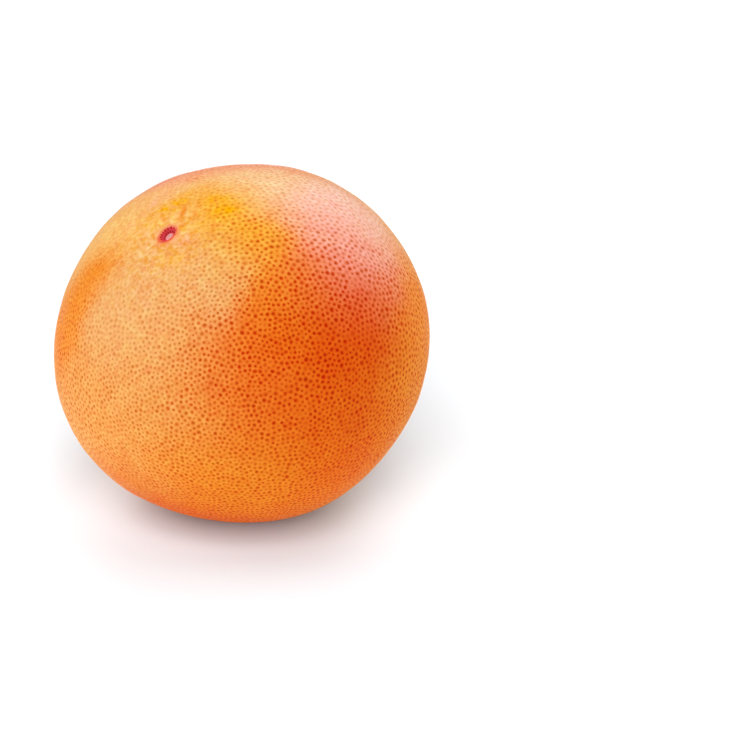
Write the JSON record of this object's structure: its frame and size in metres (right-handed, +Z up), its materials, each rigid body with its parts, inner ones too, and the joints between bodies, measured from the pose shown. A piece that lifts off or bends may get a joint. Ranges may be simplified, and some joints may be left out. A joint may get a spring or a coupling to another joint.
{
  "type": "pink grapefruit (pomelo)",
  "caption": "Whole, slightly flattened round citrus fruit with a dimpled rind and a small sunken stem scar, resting on a small flat spot.",
  "frame": {"origin": "on the surface that the fruit rests on, under the middle of its box", "axes": "+Z up, the shortest extent, away from the rest spot; +X along the longest extent, to the viewer's right; -Y towards the viewer; the stem end leans 33 degrees from +Z towards -X and -Y"},
  "size_m": [0.105, 0.1034, 0.0959],
  "materials": {
    "rind": "waxy satin citrus rind, orange with a yellow stem end and a pink blush, pitted with oil glands"
  },
  "bodies": {
    "root": {"pomelo_fruit": "rind"}
  },
  "joints": []
}
